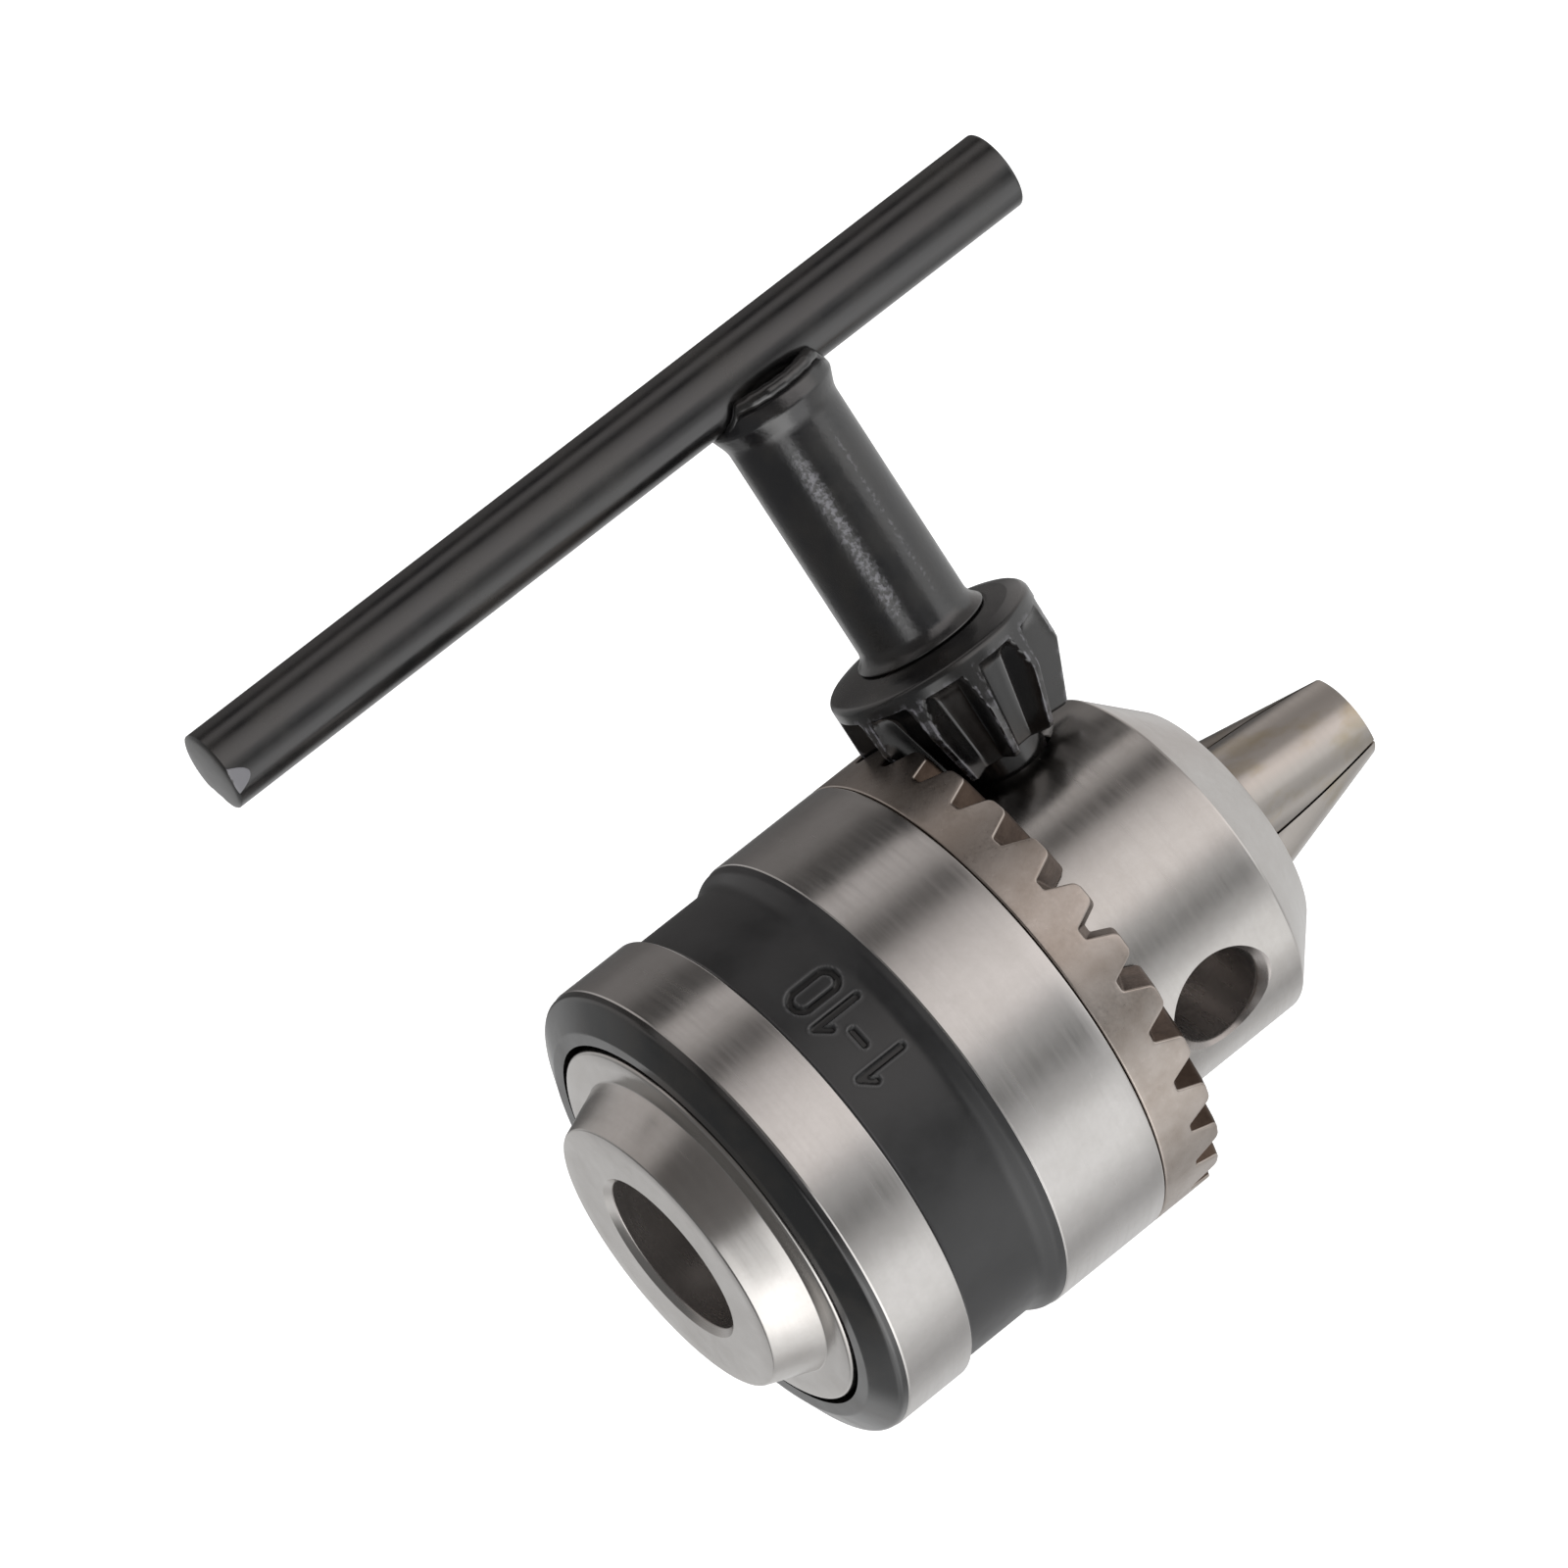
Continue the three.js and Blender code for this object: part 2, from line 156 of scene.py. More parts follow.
def piece(name, points, materials, closed_rows=False, material_rows=None, marks=None):
    """A closed mesh from a grid of points [row, column, xyz] in millimetres. Every row runs round to
    its own start; a row whose points coincide is a pole. Marks are named values, one per point.
    Faces are turned outward."""
    rows, columns = points.shape[:2]
    row = np.arange(rows if closed_rows else rows - 1)[:, None]
    column = np.arange(columns)[None, :]
    next_row, next_column = (row + 1) % rows, (column + 1) % columns
    corners = (row * columns + column, row * columns + next_column,
               next_row * columns + next_column, next_row * columns + column)
    quads = np.stack(np.broadcast_arrays(*corners), -1).reshape(-1, 4)
    mesh = bpy.data.meshes.new(name)
    mesh.vertices.add(rows * columns)
    mesh.vertices.foreach_set("co", (points.reshape(-1, 3) * MM).ravel())
    mesh.loops.add(quads.size)
    mesh.loops.foreach_set("vertex_index", quads.ravel())
    mesh.polygons.add(len(quads))
    mesh.polygons.foreach_set("loop_start", np.arange(0, quads.size, 4))
    for material in materials:
        mesh.materials.append(material)
    if material_rows is not None:
        mesh.polygons.foreach_set("material_index", np.repeat(material_rows[:len(row)], columns))
    for mark, values in (marks or {}).items():
        mesh.attributes.new(mark, "FLOAT", "POINT").data.foreach_set("value", values.ravel())
    mesh.update(calc_edges=True)
    placed = bpy.data.objects.new(name, mesh)
    bpy.context.scene.collection.objects.link(placed)
    merge_and_face_out(mesh)
    return placed


def merge_and_face_out(mesh):
    """Joins coinciding points, so that poles and seams close, and turns every face outward."""
    work = bmesh.new()
    work.from_mesh(mesh)
    bmesh.ops.remove_doubles(work, verts=work.verts, dist=1e-7)
    bmesh.ops.dissolve_degenerate(work, edges=work.edges, dist=1e-8)
    bmesh.ops.recalc_face_normals(work, faces=work.faces)
    work.to_mesh(mesh)
    work.free()
    mesh.update()


def smooth(placed, edge_degrees=32):
    """Smooth shading, with edges sharper than the angle kept crisp."""
    placed.data.shade_smooth()
    placed.data.set_sharp_from_angle(angle=math.radians(edge_degrees))


def turned(outline, columns=180):
    """Points of a surface turned about Z: row i is the circle of radius outline[i][0] at depth
    outline[i][1]. Columns is how many there are, or their angles."""
    angle = np.linspace(0, TAU, columns, endpoint=False) if np.isscalar(columns) else columns
    radius, s = outline[:, :1], outline[:, 1:]
    return np.stack([radius * np.cos(angle), radius * np.sin(angle), -s + 0 * angle], -1)


def turned_on_key(outline, columns=96):
    """Points of a surface turned about the key's axis: row i is the circle of radius outline[i][0]
    at outline[i][1] from the chuck's axis."""
    angle = np.linspace(0, TAU, columns, endpoint=False)
    radius, x = outline[:, :1], outline[:, 1:]
    return np.stack([x + 0 * angle, radius * np.sin(angle), radius * np.cos(angle) - KEY_S], -1)


def rotated(points, degrees):
    """Points turned about the chuck's axis."""
    c, s = math.cos(math.radians(degrees)), math.sin(math.radians(degrees))
    return points @ np.array([[c, s, 0], [-s, c, 0], [0, 0, 1]])


def cut(placed, tools, operation="DIFFERENCE"):
    """Takes each tool away from a piece, or keeps what they share, and deletes the tools."""
    for tool in tools:
        step = placed.modifiers.new(tool.name, "BOOLEAN")
        step.operation = operation
        step.object = tool
        step.solver = "EXACT"
    depsgraph = bpy.context.evaluated_depsgraph_get()
    finished = bpy.data.meshes.new_from_object(placed.evaluated_get(depsgraph))
    placed.modifiers.clear()
    placed.data = finished
    finished.name = placed.name
    for tool in tools:
        bpy.data.objects.remove(tool)
    merge_and_face_out(finished)


def jaw_axis_r(s):
    """The jaw's own axis leans 15 degrees: its distance from the chuck's axis falls evenly with s."""
    return JAW_TIP_AXIS_R + (JAW_TIP_S - s) * math.tan(JAW_ANGLE)


def jaw_back_r(s):
    """The outermost line of the jaw: its axis plus its radius, both as depth s cuts them."""
    return jaw_axis_r(s) + JAW_R / math.cos(JAW_ANGLE)


def on_jaw_axis(outline, columns, azimuth):
    """Points turned about a jaw's axis: outline rows are (radius, distance along the jaw from the
    tip plane towards the tail)."""
    angle = np.linspace(0, TAU, columns, endpoint=False)
    radius, along = outline[:, :1], outline[:, 1:]
    lean, rise = math.sin(JAW_ANGLE), math.cos(JAW_ANGLE)
    across_x, across_y = radius * np.cos(angle), radius * np.sin(angle)
    x = JAW_TIP_AXIS_R + along * lean + across_x * rise
    z = -JAW_TIP_S + along * rise - across_x * lean
    return rotated(np.stack([x, across_y, z], -1), azimuth)


# ---- materials ----
def linear(hex_colour):
    """An sRGB hex value as linear red, green, blue and 1."""
    channels = [int(hex_colour[i:i + 2], 16) / 255 for i in (1, 3, 5)]
    return [c / 12.92 if c <= 0.04045 else ((c + 0.055) / 1.055) ** 2.4 for c in channels] + [1.0]


def add_node(tree, kind, settings=None, out=0, **links):
    """Adds a node, sets its properties and unlinked sockets, and links the rest. A socket is named
    by its words with _ for a space, or by its number as _0. Gives back the output called out."""
    node = tree.nodes.new("ShaderNode" + kind)
    for key, value in (settings or {}).items():
        setattr(node, key, value)
    for key, value in links.items():
        socket = node.inputs[int(key[1:])] if key[1:].isdigit() else node.inputs[key.replace("_", " ")]
        if isinstance(value, bpy.types.NodeSocket):
            tree.links.new(value, socket)
        else:
            socket.default_value = value
    return node.outputs[out]


def new_material(name):
    """An empty node material, and its tree."""
    material = bpy.data.materials.new(name)
    material.use_nodes = True
    material.node_tree.nodes.clear()
    return material, material.node_tree


def surfaced(material, shader):
    """The material, with its shader joined to its surface."""
    tree = material.node_tree
    tree.links.new(shader, tree.nodes.new("ShaderNodeOutputMaterial").inputs[0])
    return material


def stretched_noise(tree, stretch, cell_mm, detail=3.0, roughness=0.6):
    """Noise on Object coordinates whose cells are cell_mm across, stretched by a factor per axis."""
    place = add_node(tree, "TexCoord", out="Object")
    scale = [1000.0 / (cell_mm * s) for s in stretch]
    mapped = add_node(tree, "Mapping", Vector=place, Scale=scale)
    return add_node(tree, "TexNoise", out="Fac", Vector=mapped, Scale=1.0, Detail=detail, Roughness=roughness)


EVEN = (1, 1, 1)
COLOURS = {"data_type": "RGBA"}


def ground_steel(name, colour, second_colour, rough):
    """Hardened steel, cylindrically ground: warm grey, mirror-like only in soft streaks, with fine
    lines that run round the piece. Real lines are 0.03 mm apart; these are drawn at 0.35 mm."""
    material, tree = new_material(name)
    lines = stretched_noise(tree, (12, 12, 0.35), 1.0, detail=4.0)
    cloud = stretched_noise(tree, EVEN, 6.0, detail=8.0, roughness=0.8)
    patches = add_node(tree, "MapRange", Value=cloud, From_Min=0.35, From_Max=0.65)
    base = add_node(tree, "Mix", COLOURS, 2, _0=patches, _6=linear(colour), _7=linear(second_colour))
    roughness = add_node(tree, "MapRange", Value=lines, From_Min=0.3, From_Max=0.7,
                         To_Min=rough - 0.035, To_Max=rough + 0.035)
    normal = add_node(tree, "Bump", Height=lines, Distance=0.0016 * MM, Strength=1.0)
    return surfaced(material, add_node(tree, "BsdfPrincipled", Base_Color=base, Metallic=1.0,
                                       Roughness=roughness, Normal=normal))


def bored_steel(name, colour):
    """Drilled and reamed steel left as cut: half matte, so that it stays light at a hole's mouth and
    falls off with depth, with fine tool marks."""
    material, tree = new_material(name)
    marks = stretched_noise(tree, (4, 4, 0.5), 0.8, detail=3.0)
    roughness = add_node(tree, "MapRange", Value=marks, From_Min=0.3, From_Max=0.7, To_Min=0.2, To_Max=0.3)
    normal = add_node(tree, "Bump", Height=marks, Distance=0.003 * MM, Strength=1.0)
    return surfaced(material, add_node(tree, "BsdfPrincipled", Base_Color=linear(colour), Metallic=0.88,
                                       Roughness=roughness, Normal=normal))


def black_phosphate(name, colour, second_colour, rough):
    """Phosphated and oiled steel: a dark satin skin of fine crystals, faintly mottled. Where a die
    has struck it the groove is painted near black, a painted shade, and the raised rim beside it is
    painted lighter, a painted highlight."""
    material, tree = new_material(name)
    mottle = stretched_noise(tree, EVEN, 2.6, detail=5.0)
    grain = stretched_noise(tree, EVEN, 0.16, detail=2.0)
    patches = add_node(tree, "MapRange", Value=mottle, From_Min=0.35, From_Max=0.65)
    base = add_node(tree, "Mix", COLOURS, 2, _0=patches, _6=linear(colour), _7=linear(second_colour))
    stamp = add_node(tree, "Attribute", {"attribute_name": "stamp"}, "Fac")
    # painted shade: the bottom of each stamped groove is painted near black
    groove_shade = add_node(tree, "MapRange", Value=stamp, From_Min=0.0, From_Max=1.0)
    base = add_node(tree, "Mix", COLOURS, 2, _0=groove_shade, _6=base, _7=linear("#060606"))
    # painted highlight: the raised rim beside each stroke is painted a lighter grey
    burr_highlight = add_node(tree, "MapRange", Value=stamp, From_Min=0.0, From_Max=-1.0, To_Max=0.8)
    base = add_node(tree, "Mix", COLOURS, 2, _0=burr_highlight, _6=base, _7=linear("#5a5a5b"))
    roughness = add_node(tree, "MapRange", Value=mottle, From_Min=0.3, From_Max=0.7,
                         To_Min=rough - 0.04, To_Max=rough + 0.06)
    normal = add_node(tree, "Bump", Height=grain, Distance=0.0035 * MM, Strength=1.0)
    return surfaced(material, add_node(tree, "BsdfPrincipled", Base_Color=base, Metallic=0.0,
                                       Roughness=roughness, IOR=1.6, Normal=normal))


def black_oxide(name, colour, rough, grain_mm, grain_depth):
    """Hot black oxide on drawn or forged steel, oiled: almost black, glossy, with the die's fine
    unevenness breaking up its highlights. Points given the wear-and-sheen mark are turned grey in
    ragged lines: rubbed wear on the pinion's teeth and the bar's struck flats, and a painted sheen
    along the shank."""
    material, tree = new_material(name)
    grain = stretched_noise(tree, EVEN, grain_mm, detail=4.0, roughness=0.65)
    mottle = stretched_noise(tree, EVEN, 3.5, detail=3.0)
    patches = add_node(tree, "MapRange", Value=mottle, From_Min=0.4, From_Max=0.65)
    base = add_node(tree, "Mix", COLOURS, 2, _0=patches, _6=linear(colour), _7=linear("#191715"))
    wear_and_sheen = add_node(tree, "Attribute", {"attribute_name": "wear_and_sheen"}, "Fac")
    raggedness = add_node(tree, "MapRange", Value=stretched_noise(tree, EVEN, grain_mm, detail=4.0),
                          From_Min=0.42, From_Max=0.6, To_Min=0.1)
    ragged = add_node(tree, "Math", {"operation": "MULTIPLY"}, _0=wear_and_sheen, _1=raggedness)
    # grey from the wear-and-sheen mark: rubbed wear on the pinion and the bar, painted sheen on the shank
    grey_wear_and_sheen = add_node(tree, "MapRange", Value=ragged, From_Min=0.2, From_Max=0.8, To_Max=0.7)
    base = add_node(tree, "Mix", COLOURS, 2, _0=grey_wear_and_sheen, _6=base, _7=linear("#77767c"))
    roughness = add_node(tree, "MapRange", Value=mottle, From_Min=0.3, From_Max=0.7,
                         To_Min=rough - 0.05, To_Max=rough + 0.07)
    normal = add_node(tree, "Bump", Height=grain, Distance=grain_depth * MM, Strength=1.0)
    return surfaced(material, add_node(tree, "BsdfPrincipled", Base_Color=base, Metallic=0.0,
                                       Roughness=roughness, IOR=1.9, Normal=normal))


def quenched_steel(name, colour, second_colour, rough):
    """Steel machined, then flame-hardened: straw and brown oxide tints over a fine sandy grain."""
    material, tree = new_material(name)
    grain = stretched_noise(tree, EVEN, 0.22, detail=3.0)
    tint = stretched_noise(tree, EVEN, 3.0, detail=4.0)
    patches = add_node(tree, "MapRange", Value=tint, From_Min=0.35, From_Max=0.65)
    base = add_node(tree, "Mix", COLOURS, 2, _0=patches, _6=linear(colour), _7=linear(second_colour))
    roughness = add_node(tree, "MapRange", Value=grain, From_Min=0.3, From_Max=0.7,
                         To_Min=rough - 0.05, To_Max=rough + 0.06)
    normal = add_node(tree, "Bump", Height=grain, Distance=0.004 * MM, Strength=1.0)
    return surfaced(material, add_node(tree, "BsdfPrincipled", Base_Color=base, Metallic=1.0,
                                       Roughness=roughness, Normal=normal))


def oiled_jaw_steel(name):
    """Hardened, ground jaw steel with a thin film of dried oil that yellows it in patches."""
    material, tree = new_material(name)
    lines = stretched_noise(tree, (6, 6, 0.4), 1.0, detail=4.0)
    film = stretched_noise(tree, (1, 1, 2.2), 2.4, detail=3.0)
    stain = add_node(tree, "MapRange", Value=film, From_Min=0.5, From_Max=0.78, To_Max=0.6)
    base = add_node(tree, "Mix", COLOURS, 2, _0=stain, _6=linear("#bdb7b1"), _7=linear("#a8966c"))
    roughness = add_node(tree, "MapRange", Value=lines, From_Min=0.3, From_Max=0.7, To_Min=0.19, To_Max=0.27)
    normal = add_node(tree, "Bump", Height=lines, Distance=0.0014 * MM, Strength=1.0)
    return surfaced(material, add_node(tree, "BsdfPrincipled", Base_Color=base, Metallic=1.0,
                                       Roughness=roughness, Normal=normal))


GROUND = ground_steel("ground_steel", "#d5d2d0", "#cbc8c5", 0.24)
GROUND_BODY = ground_steel("ground_body_steel", "#d3d0cd", "#c9c5c1", 0.24)
BORED = bored_steel("bored_steel", "#aaa5a2")
PHOSPHATE = black_phosphate("black_phosphate", "#1d1d1e", "#252526", 0.36)
SHOULDER_BLACK = black_oxide("shoulder_black_oxide", "#0d0e0f", 0.2, 0.9, 0.003)
GEAR = quenched_steel("flame_hardened_steel", "#c4bbb4", "#b0a59c", 0.32)
GEAR_FLANK = quenched_steel("toothed_flank_steel", "#6f5f54", "#54463d", 0.45)
JAW = oiled_jaw_steel("oiled_jaw_steel")
KEY_BLACK = black_oxide("key_black_oxide", "#0e0e0f", 0.22, 0.9, 0.003)
KEY_ROUGH = black_oxide("forged_black_oxide", "#0e0e10", 0.2, 0.34, 0.02)
NUT = quenched_steel("nut_steel", "#8a8078", "#6f665f", 0.35)


# ---- chuck body ----
def spindle_thread(points, outline):
    """The thread in the spindle hole: the radius shrinks by the thread's height times the triangle
    wave of depth over pitch minus the turn, which is a helix. It fades out at both ends."""
    s = outline[:, 1]
    room = np.minimum(s - COUNTERBORE_S - 0.5, THREAD_END_S - s)
    fade = np.clip(room, 0, THREAD_FADE) / THREAD_FADE
    inside = (outline[:, 0] < THREAD_R + 0.01) & (s < THREAD_END_S + 0.01)
    turn = np.arctan2(points[..., 1], points[..., 0]) / TAU
    wave = 2 * np.abs((outline[:, 1:] / THREAD_PITCH - turn) % 1 - 0.5)
    radius = np.hypot(points[..., 0], points[..., 1])
    shrink = (fade * inside)[:, None] * THREAD_HEIGHT * wave
    factor = 1 - shrink / np.maximum(radius, 1e-6)
    return points * np.stack([factor, factor, np.ones_like(factor)], -1)


def body_points():
    """The body turned from its outline: spindle hole, boss, flange, nut groove, nose, front bore.
    Also gives how many rows, from the first, are left as bored."""
    hole = spaced(rounded([
        (0, THREAD_END_S + 2.7, 0),
        (THREAD_R, THREAD_END_S, 0),
        (THREAD_R, COUNTERBORE_S + 0.6, 0),
        (COUNTERBORE_R, COUNTERBORE_S, 0.1),
        (COUNTERBORE_R, 0.42, 0.15),
        (COUNTERBORE_R + 0.42, 0, 0),
    ]), THREAD_PITCH / 8)
    outside = spaced(rounded([
        (COUNTERBORE_R + 0.42, 0, 0),
        (BOSS_R, 0, 0.16),
        (BOSS_BASE_R, FLANGE_S, 0.12),
        (FLANGE_R, FLANGE_S, 0.22),
        (FLANGE_R, NUT_GROOVE_S[0], 0.1),
        (NUT_GROOVE_R, NUT_GROOVE_S[0], 0.1),
        (NUT_GROOVE_R, NUT_GROOVE_S[1], 0.1),
        (NOSE_R, NUT_GROOVE_S[1], 0.1),
        (NOSE_R, NOSE_EDGE_S, 0.35),
        (FRONT_R, FRONT_S, 0.25),
        (SHANK_BORE_R + 0.5, FRONT_S, 0.1),
        (SHANK_BORE_R, FRONT_S - 0.5, 0.1),
        (SHANK_BORE_R, SHANK_BORE_S, 0),
        (0, SHANK_BORE_S - 2.8, 0),
    ]), 1.0)
    outline = np.concatenate([hole[:-1], outside])
    return spindle_thread(turned(outline, 180), outline), len(hole) - 1 - MOUTH_CHAMFER_ROWS


def key_hole_tool(azimuth):
    """A drilled hole, turned about the key's axis, with a countersunk mouth whose edge is rounded."""
    outline = rounded([
        (0, KEY_HOLE_END_R, 0),
        (KEY_HOLE_R, KEY_HOLE_END_R, 0),
        (KEY_HOLE_R, NOSE_R - 0.75, 0.5),
        (KEY_HOLE_R + 0.55, NOSE_R - 0.12, 0.5),
        (KEY_HOLE_R + 1.7, NOSE_R + 0.6, 0),
        (0, NOSE_R + 0.6, 0),
    ], steps=5)
    return piece("key_hole_tool", rotated(turned_on_key(outline, 72), azimuth), [BORED])


def jaw_bore_tool(azimuth):
    """A cylinder on the jaw's leaning axis, from past the nose to the bore's inner end."""
    start = (JAW_TIP_S - JAW_BORE_END_S) / math.cos(JAW_ANGLE)
    outline = np.array([(0, -6), (JAW_BORE_R, -6), (JAW_BORE_R, start), (0, start)], float)
    return piece("jaw_bore_tool", on_jaw_axis(outline, 64, azimuth), [BORED])


def chuck_body():
    """The body: the turned blank less three leaning jaw bores and three key holes."""
    points, bored_rows = body_points()
    rows = np.where(np.arange(len(points)) < bored_rows, 1, 0)
    placed = piece("chuck_body_turned", points, [GROUND_BODY, BORED], material_rows=rows)
    cut(placed, [jaw_bore_tool(a) for a in JAW_AZIMUTHS] + [key_hole_tool(a) for a in KEY_HOLE_AZIMUTHS])
    smooth(placed, 28)
    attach(placed, "body")
    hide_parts("chuck_body")


# ---- sleeve ----
def distance_to_stroke(across, along, start, end):
    """Distance from each point of the band to the nearest point of a straight stroke."""
    run = np.array(end, float) - start
    length = max(run @ run, 1e-9)
    t = np.clip(((across - start[0]) * run[0] + (along - start[1]) * run[1]) / length, 0, 1)
    return np.hypot(across - start[0] - t * run[0], along - start[1] - t * run[1])


def numeral_distance(across, along):
    """Distance to the stamped capacity numerals 1-10: the least of the distances to their strokes.
    A nought is the line that lies its radius away from a short upright stroke."""
    height, nought_r = NUMERAL_HEIGHT, NOUGHT_R
    strokes = [
        distance_to_stroke(across, along, (0, 0), (0, height)),
        distance_to_stroke(across, along, (0, height), (-0.7, height - 0.8)),
        distance_to_stroke(across, along, (1.5, height / 2), (2.6, height / 2)),
        distance_to_stroke(across, along, (4.2, 0), (4.2, height)),
        distance_to_stroke(across, along, (4.2, height), (3.5, height - 0.8)),
        np.abs(distance_to_stroke(across, along, (6.2, nought_r), (6.2, height - nought_r)) - nought_r),
    ]
    return np.min(strokes, axis=0)


def sleeve_columns():
    """Column angles: 2 degrees apart, and 0.3 degrees apart where numerals are stamped."""
    angles = []
    for start in NUMERAL_AZIMUTHS:
        angles.append(start - 5 + np.arange(0, NUMERAL_WINDOW, 0.3))
        angles.append(start - 5 + NUMERAL_WINDOW + np.arange(0, 180 - NUMERAL_WINDOW, 2))
    return np.radians(np.concatenate(angles))


def stamped(points, outline):
    """Sinks the numerals into the black band: a flat-bottomed groove with sloping sides, and a burr
    that stands up slightly beside it. Also gives each point 1 in a groove and -1 on its burr."""
    angle = np.arctan2(points[..., 1], points[..., 0])
    radius = np.hypot(points[..., 0], points[..., 1])
    in_band = (outline[:, 0] > SLEEVE_BORE_R + 0.3)[:, None]
    change, mark = np.zeros_like(radius), np.zeros_like(radius)
    for start in NUMERAL_AZIMUTHS:
        across = ((angle - math.radians(start) + math.pi) % TAU - math.pi) * BLACK_BAND_R
        along = (REAR_BAND_S + FRONT_BAND_S - 0.6 + NUMERAL_HEIGHT) / 2 - outline[:, 1:] + 0 * angle
        away = numeral_distance(across, along)
        change -= STAMP_DEPTH * np.clip((0.27 - away) / 0.1, 0, 1)
        change += BURR_HEIGHT * np.exp(-((away - 0.38) / 0.07) ** 2)
        mark += np.clip((0.25 - away) / 0.06, 0, 1) - 0.8 * np.exp(-((away - 0.35) / 0.05) ** 2)
    factor = 1 + np.where(in_band, change, 0) / radius
    return points * np.stack([factor, factor, np.ones_like(factor)], -1), np.where(in_band, mark, 0)


def sleeve_shell():
    """The sleeve turned from its closed outline: rounded black shoulder, rear ground band, recessed
    black band with a swelling rise, front ground band, and the bore with its nut seat."""
    outside = [
        (LIP_R, SLEEVE_BACK_S, 0.12),
        (LIP_R + 0.95, SLEEVE_BACK_S, 0.5),
        (REAR_BAND_R - 0.12, SHOULDER_S - 0.55, 0.75),
        (REAR_BAND_R - 0.05, SHOULDER_S, 0.1),
        (REAR_BAND_R, SHOULDER_S + 0.1, 0.05),
        (REAR_BAND_R, REAR_BAND_S, 0.08),
    ]
    band = [
        (REAR_BAND_R, REAR_BAND_S, 0.08),
        (BLACK_BAND_R, REAR_BAND_S + 0.28, 0.25),
        (BLACK_BAND_R, FRONT_BAND_S - 1.5, 1.6),
        (SLEEVE_R - 0.12, FRONT_BAND_S - 0.55, 0.9),
        (SLEEVE_R - 0.06, FRONT_BAND_S, 0.05),
    ]
    front = [
        (SLEEVE_R - 0.06, FRONT_BAND_S, 0),
        (SLEEVE_R, FRONT_BAND_S + 0.07, 0.05),
        (SLEEVE_R, SLEEVE_FRONT_S, 0.12),
        (NUT_SEAT_R, SLEEVE_FRONT_S, 0.1),
        (NUT_SEAT_R, NUT_GROOVE_S[0], 0.1),
        (SLEEVE_BORE_R, NUT_GROOVE_S[0] - 1.1, 0.1),
        (SLEEVE_BORE_R, SHOULDER_S + 1.2, 0.2),
        (LIP_R, SHOULDER_S + 0.1, 0.1),
        (LIP_R, SLEEVE_BACK_S + 0.3, 0),
    ]
    parts = [
        spaced(rounded(outside + band[1:2], 5)[:-1], 1.2),
        spaced(rounded(outside[-2:-1] + band + front[1:2], 8)[1:-1], 0.13),
        spaced(rounded(front, 4), 1.2),
    ]
    outline = np.concatenate(parts)
    points, mark = stamped(turned(outline, sleeve_columns()), outline)
    s = outline[:, 1]
    outer = outline[:, 0] > SLEEVE_BORE_R - 0.1
    rows = np.zeros(len(outline), int)
    rows[outer & (s > REAR_BAND_S + 0.02) & (s < FRONT_BAND_S - 0.02)] = 1
    rows[s < SHOULDER_S - 0.02] = 2
    rows[-LIP_ROWS:] = 2
    placed = piece("sleeve_shell", points, [GROUND, PHOSPHATE, SHOULDER_BLACK], True, rows, {"stamp": mark})
    smooth(placed, 40)
    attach(placed, "sleeve")
    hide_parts("sleeve")


# ---- toothed ring ----
def tooth_outline():
    """One ring tooth, from valley to valley, unrolled at the ring's outside: (arc length, depth)."""
    half_pitch = math.pi * SLEEVE_R / RING_TEETH
    corners = [
        (-half_pitch - VALLEY_HALF, VALLEY_S, 0),
        (-half_pitch + VALLEY_HALF, VALLEY_S, 0.22),
        (-LAND_HALF, TIP_S, 0.62),
        (LAND_HALF, TIP_S, 0.62),
        (half_pitch - VALLEY_HALF, VALLEY_S, 0.22),
        (half_pitch + VALLEY_HALF, VALLEY_S, 0),
    ]
    outline = spaced(rounded(corners, 7), 0.22)
    inside = np.abs(outline[:, 0]) < half_pitch - 1e-6
    edge = np.array([[-half_pitch, VALLEY_S]])
    return np.concatenate([edge, outline[inside]])


